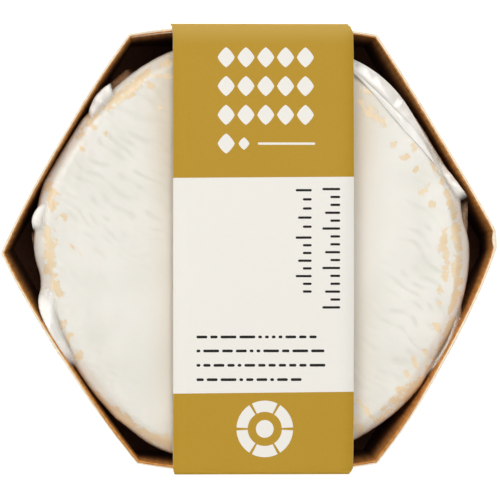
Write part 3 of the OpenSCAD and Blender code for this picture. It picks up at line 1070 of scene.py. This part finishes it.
@dataclass
class Band:
    """Printed card band: a closed loop across the tray, folded over its rim and foot.

    Seen along X, its outer line goes up the back wall, which swells as the tray's does, over
    a fold, across the top, down the front and back underneath, where one end laps the other.
    """

    outline: TrayOutline
    low_x: float
    high_x: float
    top_z: float
    card_t: float = 0.26
    gap: float = 0.1
    fold_r: float = 0.76
    sag: float = 0.16
    lap_y: float = 14.0
    upper_field_y: float = 18.5
    lower_field_y: float = -37.0
    field_slant: tuple[float, float] = (0.007, 0.009)
    side_rows: int = 14
    fold_rows: int = 8
    panel_rows: int = 26
    panel_cols: int = 12
    bevel: float = 0.07
    card_room: float = 0.3
    lap_h: float = 0.1

    def side_y(self, bow: float, z: np.ndarray) -> np.ndarray:
        """Distance of the band's outer face from the middle at a height."""
        return self.outline.side_dist + self.gap + self.card_room + bow * self.outline.swell(z)

    def loop(self) -> tuple[np.ndarray, list[Field]]:
        """The outer line and the field that each stretch of it belongs to.

        Returns:
            Points (y, z), counterclockwise with Y to the right, and each point's field.
        """
        r = self.fold_r
        z = np.linspace(r, self.top_z - r, self.side_rows + 1)
        back = np.column_stack([self.side_y(self.outline.rim_bow[1], z), z])
        front = np.column_stack([-self.side_y(self.outline.rim_bow[4], z[::-1]), z[::-1]])
        t = np.linspace(0.0, math.pi / 2, self.fold_rows + 1)[1:-1]
        arc = np.column_stack([np.cos(t), np.sin(t)]) * r
        top_back, top_front = back[-1] + (-r, 0.0), front[0] + (r, 0.0)
        low_front, low_back = front[-1] + (r, 0.0), back[0] + (-r, 0.0)
        panel = []
        stops = (top_back[0], self.upper_field_y, self.lower_field_y, top_front[0])
        for start, stop in zip(stops, stops[1:]):
            share = np.arange(self.panel_rows) / self.panel_rows
            panel.append(np.column_stack([start + (stop - start) * share,
                                          np.full(self.panel_rows, self.top_z)]))
        end = np.array([[top_front[0], self.top_z]])
        under = np.array([[low_front[0], 0.0], [-30.0, 0.0], [0.0, 0.0], [self.lap_y, 0.0],
                          [self.lap_y + 0.02, self.lap_h], [40.0, self.lap_h],
                          [low_back[0] - 1.0, 0.03]])
        parts = [
            (back, Field.GOLD), (top_back + arc, Field.GOLD), (panel[0], Field.GOLD),
            (panel[1], Field.WHITE), (panel[2], Field.GOLD), (end, Field.GOLD),
            (top_front + arc[::-1] * (-1, 1), Field.GOLD), (front, Field.GOLD),
            (low_front - arc, Field.GOLD), (under, Field.WHITE),
            (low_back + arc[::-1] * (1, -1), Field.GOLD)]
        points = np.concatenate([p for p, _ in parts])
        fields = [f for p, f in parts for _ in range(len(p))]
        return points, fields

    def edge_x(self, y: np.ndarray, z: np.ndarray) -> tuple[np.ndarray, np.ndarray]:
        """Left and right edge of the card: straight, with uneven corners at the top folds."""
        fold = smooth_step(self.top_z - 9.0, self.top_z - 1.0, z)
        end_y, spread = 58.1, 0.9
        near_back = np.exp(-(((y - end_y) / spread) ** 2)) * fold
        near_front = np.exp(-(((y + end_y) / spread) ** 2)) * fold
        left = self.low_x - 0.7 * near_back + 0.35 * near_front
        right = self.high_x - 1.3 * near_back - 0.9 * near_front - 0.3 * (np.abs(y) / 58.0) ** 4
        return left, right

    def top_at(self, x: np.ndarray, y: np.ndarray) -> np.ndarray:
        """Height of the card's top: a slight sag between the rims, level at the folds."""
        middle = (self.low_x + self.high_x) / 2
        across = ((x - middle) / (self.high_x - self.low_x) * 2.0) ** 2
        return self.top_z - self.sag * np.clip(1.0 - (y / 56.0) ** 2, 0, 1) * (0.7 + 0.3 * across)

    def build(self, maker: Maker, finishes: list[bpy.types.Material]) -> None:
        """Builds the card, which stands for the band.

        Args:
            maker: makes the piece.
            finishes: materials in the order of Field.
        """
        line, fields = self.loop()
        inward = inset(line, self.card_t) - line
        left, right = self.edge_x(line[:, 0], line[:, 1])

        def ring(share: float, depth: float) -> np.ndarray:
            """The loop at a share of the card's width and one of its thickness."""
            corner = share in (0.0, 1.0) and depth in (0.0, 1.0)
            draw = self.bevel * (1.0 - 2.0 * share) if corner else 0.0
            return np.column_stack([left + (right - left) * share + draw, line + inward * depth])

        across = np.linspace(0.0, 1.0, self.panel_cols + 1)
        rings = [ring(share, 0.0) for share in across] + [ring(1.0, cut) for cut in (0.3, 0.7)]
        rings += [ring(share, 1.0) for share in across[::-1]] + [ring(0.0, cut) for cut in (0.7, 0.3)]
        grid = np.array(rings).transpose(1, 0, 2)
        on_top = grid[..., 2] > self.top_z - 0.45
        grid[..., 2] += np.where(on_top, self.top_at(grid[..., 0], grid[..., 1]) - self.top_z, 0.0)
        ends_y = (self.lower_field_y, self.upper_field_y)
        slant = np.interp(grid[..., 1], ends_y, self.field_slant[::-1])
        inner_part = smooth_step(56.0, 50.0, np.abs(grid[..., 1]))
        grid[..., 1] += np.where(on_top, slant * grid[..., 0] * inner_part, 0.0)
        marks = np.full(grid.shape[:2], Field.BACK.value)
        marks[:, : self.panel_cols] = np.array([f.value for f in fields])[:, None]
        marks[:, self.panel_cols : self.panel_cols + 3] = Field.EDGE.value
        marks[:, -3:] = Field.EDGE.value
        shape = Shape()
        shape.tube(grid[::-1].copy(), np.roll(marks[::-1], -1, axis=0))
        maker.piece("band", shape, finishes, sharp=50.0, replaces=("band",))


# ---- the print: plain shapes where a pack has its words and mark ----


def bar(x: float, y: float, w: float, h: float) -> np.ndarray:
    """A bar with round ends, about its middle.

    Args:
        x: its middle along X.
        y: its middle along Y.
        w: its size along X.
        h: its size along Y.

    Returns:
        Its outline, counterclockwise.
    """
    r = min(w, h) / 2
    t = np.arange(24) * 15.0 + 7.5
    ends = polar(r, t)
    return ends + np.sign(ends) * (w / 2 - r, h / 2 - r) + (x, y)


def lozenge(x: float, y: float, w: float, h: float) -> np.ndarray:
    """A lozenge with slightly bowed sides, about its middle."""
    t = np.arange(24) * 15.0
    c, s = np.cos(np.radians(t)), np.sin(np.radians(t))
    size = 1.0 / (np.abs(c) ** 1.25 + np.abs(s) ** 1.25) ** 0.8
    return np.column_stack([c * size * w / 2, s * size * h / 2]) + (x, y)


def segment(x: float, y: float, start: float, inner: float, outer: float) -> np.ndarray:
    """One of six segments of a flat ring, which starts at an angle and spans 54 degrees."""
    t = np.linspace(start + 3.0, start + 57.0, 10)
    return np.concatenate([polar(outer, t), polar(inner, t[::-1])]) + (x, y)


@dataclass
class Print:
    """Plain shapes printed on the band: ornaments, columns of strokes, fine lines and a mark."""

    band: Band
    ink_t: float = 0.02
    row_tops: tuple[float, ...] = (49.4, 42.0, 34.6, 27.2)
    row_h: float = 5.2
    row_x: tuple[float, float] = (-8.5, 17.0)
    mark_at: tuple[float, float] = (4.0, -46.3)

    def lay(self, maker: Maker, name: str, outlines: list[np.ndarray], ink: bpy.types.Material) -> None:
        """Lays shapes on the card as one piece that follows its surface.

        Args:
            maker: makes the piece.
            name: the piece's name.
            outlines: the shapes' outlines, counterclockwise.
            ink: their finish.
        """
        shape = Shape()
        for line in outlines:
            z = self.band.top_at(line[:, 0], line[:, 1])
            shape.plate(lifted(line, z - 0.03), lifted(line, z + self.ink_t))
        maker.piece(name, shape, [ink])

    def ornaments(self) -> list[np.ndarray]:
        """Three rows of lozenges, and a short row that ends in a rule."""
        left, right = self.row_x
        pitch = (right - left) / 5
        shapes = []
        for y in self.row_tops[:3]:
            for k in range(5):
                shapes.append(lozenge(left + pitch * (k + 0.5), y, pitch * 0.86, self.row_h))
        y = self.row_tops[3]
        shapes += [lozenge(left + pitch * 0.5, y, pitch * 0.86, self.row_h),
                   lozenge(left + pitch * 1.4, y, pitch * 0.55, self.row_h * 0.62)]
        start = left + pitch * 2.1
        shapes.append(bar((start + right) / 2, y, right - start, 0.6))
        return shapes

    def strokes(self) -> list[np.ndarray]:
        """Two columns of short strokes across, in groups."""
        shapes = []
        columns = ((13.9, 4.4, ((15.6, 5.4), (3.4, -11.3))), (21.0, 4.9, ((15.9, -15.4),)))
        for x, width, groups in columns:
            for high, low in groups:
                count = int(round((high - low) / 1.9))
                for k, y in enumerate(np.linspace(high - 0.4, low + 0.4, count)):
                    wide = width * (0.94, 0.52, 0.52, 0.80, 0.52)[k % 5]
                    shapes.append(bar(x + (width - wide) / 2, float(y), wide, 0.62))
        return shapes

    def fine_lines(self) -> list[np.ndarray]:
        """Four lines of dashes of uneven length."""
        rng = np.random.default_rng(12)
        shapes = []
        for y, right in ((-22.6, 17.6), (-26.2, 19.4), (-29.9, 19.9), (-33.6, 14.4)):
            x = -13.6
            while x < right - 1.0:
                long = min(float(rng.choice((1.0, 1.9, 2.8, 4.1))), right - x)
                shapes.append(bar(x + long / 2, y, long, 0.72))
                x += long + 0.75
        return shapes

    def mark(self) -> list[np.ndarray]:
        """A plain ring of six segments about a dot."""
        x, y = self.mark_at
        shapes = [segment(x, y, a * 60.0, 4.4, 7.3) for a in range(6)]
        return [*shapes, bar(x, y, 4.6, 4.6)]

    def build(self, maker: Maker, white: bpy.types.Material, dark: bpy.types.Material) -> None:
        """Builds the printed shapes."""
        self.lay(maker, "print_ornaments", self.ornaments(), white)
        self.lay(maker, "print_strokes", self.strokes(), dark)
        self.lay(maker, "print_fine_lines", self.fine_lines(), dark)
        self.lay(maker, "print_mark", self.mark(), white)


# ---- light, floor and camera ----


@dataclass
class Studio:
    """Plain pale floor, soft light mostly from the upper left and a long-lens camera above."""

    camera_at: tuple[float, float, float] = (-14.5, 4.0, 640.0)
    aim_at: tuple[float, float, float] = (0.2, -0.2, 30.4)
    lens: float = 170.4
    wall: float = 0.9
    fill: float = 0.125
    wall_to: tuple[float, float] = (0.06, 0.16)

    def floor(self) -> None:
        """A level floor that glows a little, so that its shadows stay faint."""
        s = Sketch("pale_floor")
        shader = s.node("BsdfPrincipled", Base_Color=(0.6, 0.6, 0.6, 1.0), Roughness=0.9,
                        Emission_Color=(1.0, 1.0, 1.0, 1.0), Emission_Strength=0.8)
        mesh = bpy.data.meshes.new("floor")
        size, level = 3.0, -0.0001
        corners = [(x * size, y * size, level) for x, y in ((-1, -1), (1, -1), (1, 1), (-1, 1))]
        mesh.from_pydata(corners, [], [(0, 1, 2, 3)])
        mesh.materials.append(s.close(shader.outputs[0]))
        obj = bpy.data.objects.new("floor", mesh)
        bpy.context.scene.collection.objects.link(obj)

    def lamp(self, name: str, at: tuple[float, float, float], size: float, power: float,
             colour: Colour = (1.0, 1.0, 1.0)) -> None:
        """A square soft box that faces the object.

        Args:
            name: the lamp's name.
            at: its place in metres.
            size: its side in metres.
            power: its power in watts.
            colour: its light's colour.
        """
        light = bpy.data.lights.new(name, "AREA")
        light.size, light.energy, light.color = size, power, colour
        obj = bpy.data.objects.new(name, light)
        obj.location = at
        obj.rotation_euler = (-Vector(at)).to_track_quat("-Z", "Y").to_euler()
        bpy.context.scene.collection.objects.link(obj)

    def surroundings(self) -> None:
        """Even light from all round: a pale wall low down and a dim room above it."""
        world = bpy.data.worlds.new("surroundings")
        world.use_nodes = True
        tree = world.node_tree
        place = tree.nodes.new("ShaderNodeTexCoord")
        axes = tree.nodes.new("ShaderNodeSeparateXYZ")
        level = tree.nodes.new("ShaderNodeMapRange")
        level.interpolation_type = "SMOOTHSTEP"
        low, high = self.wall_to
        for name, value in (("From Min", low), ("From Max", high), ("To Min", self.wall),
                            ("To Max", self.fill)):
            level.inputs[name].default_value = value
        background = tree.nodes["Background"]
        background.inputs["Color"].default_value = (0.95, 0.97, 1.0, 1.0)
        tree.links.new(place.outputs["Generated"], axes.inputs[0])
        tree.links.new(axes.outputs["Z"], level.inputs["Value"])
        tree.links.new(level.outputs[0], background.inputs["Strength"])
        bpy.context.scene.world = world

    def build(self) -> None:
        """Sets up floor, lamps, surroundings and camera."""
        self.floor()
        self.lamp("key_light", (-0.72, 0.38, 1.25), 0.8, 9.6, (1.0, 0.985, 0.96))
        self.lamp("back_light", (0.12, 0.62, 1.36), 0.6, 7.8, (1.0, 0.99, 0.97))
        self.lamp("top_light", (0.28, -0.04, 1.55), 0.8, 4.5)
        self.lamp("fill_light", (0.55, -0.45, 1.1), 0.7, 1.6)
        self.surroundings()
        camera = bpy.data.cameras.new("camera")
        camera.lens, camera.sensor_width = self.lens, 36.0
        obj = bpy.data.objects.new("camera", camera)
        at, aim = Vector(self.camera_at) * MM, Vector(self.aim_at) * MM
        back = (at - aim).normalized()
        right = Vector((0.0, 1.0, 0.0)).cross(back).normalized()
        turned = Matrix((right, back.cross(right), back)).transposed()
        obj.matrix_world = Matrix.Translation(at) @ turned.to_4x4()
        bpy.context.scene.collection.objects.link(obj)
        bpy.context.scene.camera = obj
        bpy.context.scene.view_settings.view_transform = "Standard"


def box_mm(node: str) -> tuple[np.ndarray, np.ndarray]:
    """Lowest and highest corner of a construction node, in millimetres."""
    low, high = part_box(node)
    return np.array(low) / MM, np.array(high) / MM


def main() -> None:
    """Builds tray, cheese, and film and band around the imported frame."""
    logging.basicConfig(level=logging.INFO, format="%(name)s: %(message)s")
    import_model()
    tray_box, wheel_box, band_box = box_mm("tray"), box_mm("wheel"), box_mm("band")
    outline = TrayOutline(foot_z=tray_box[0][2], rim_z=tray_box[1][2])
    maker = Maker()

    kraft = KraftBoard("kraft_board", (0.49, 0.265, 0.10), (0.40, 0.205, 0.075), (0.40, 0.205, 0.075))
    # The inside's last colour is painted shade, near black at the floor and clearing towards the rim.
    inside = KraftBoard("kraft_inside", (0.80, 0.36, 0.09), (0.46, 0.17, 0.035), (0.07, 0.023, 0.008),
                        painted_shade_z=8.0, unshaded_z=31.0, streaks=0.5)
    edge = Paper("board_edge", (0.92, 0.84, 0.68), (0.74, 0.57, 0.36), mottle=0.5, roughness=0.85)
    Tray(outline).build(maker, kraft.material(), inside.material(), edge.material())

    wheel = Wheel(outline, floor_z=wheel_box[0][2], top_z=wheel_box[1][2])
    # The rind's hollow colour is also painted shade; its last colour is the band's painted shadow.
    rind = Rind("rind", white=(0.81, 0.787, 0.727), hollow=(0.725, 0.714, 0.64),
                worn=(0.81, 0.655, 0.435), stain=(0.79, 0.60, 0.36), painted_band_shadow=(0.66, 0.575, 0.45))
    Cheese(wheel).build(maker, rind.material())
    close = Film("film", (0.95, 0.94, 0.90), 0.02, gloss=0.24, crinkle=0.06, mirror=0.03)
    FilmWrap(wheel).build(maker, close.material())
    loose = {look: look.film().material() for look in Clearness}
    for fold in FOLDS:
        fold.build(maker, loose[fold.look])

    band = Band(outline, low_x=band_box[0][0], high_x=band_box[1][0], top_z=band_box[1][2] - 0.02)
    band.build(maker, [
        # The gold's paler colour by the back fold is a painted highlight.
        Paper("band_gold", (0.47, 0.275, 0.022), (0.505, 0.315, 0.045), painted_highlight_y=58.0,
              fold=(0.545, 0.35, 0.07)).material(),
        Paper("band_white", (0.84, 0.815, 0.76), (0.87, 0.85, 0.80)).material(),
        Paper("card_edge", (0.72, 0.62, 0.42), (0.66, 0.54, 0.34)).material(),
        Paper("card_back", (0.50, 0.33, 0.16), (0.44, 0.29, 0.14)).material()])
    Print(band).build(maker, Paper("white_ink", (0.84, 0.815, 0.76), (0.87, 0.85, 0.80)).material(),
                      Paper("dark_ink", (0.014, 0.013, 0.012), (0.03, 0.028, 0.026)).material())

    Studio().build()
    LOG.info("%d pieces", len(maker.made))


if __name__ == "__main__":
    main()
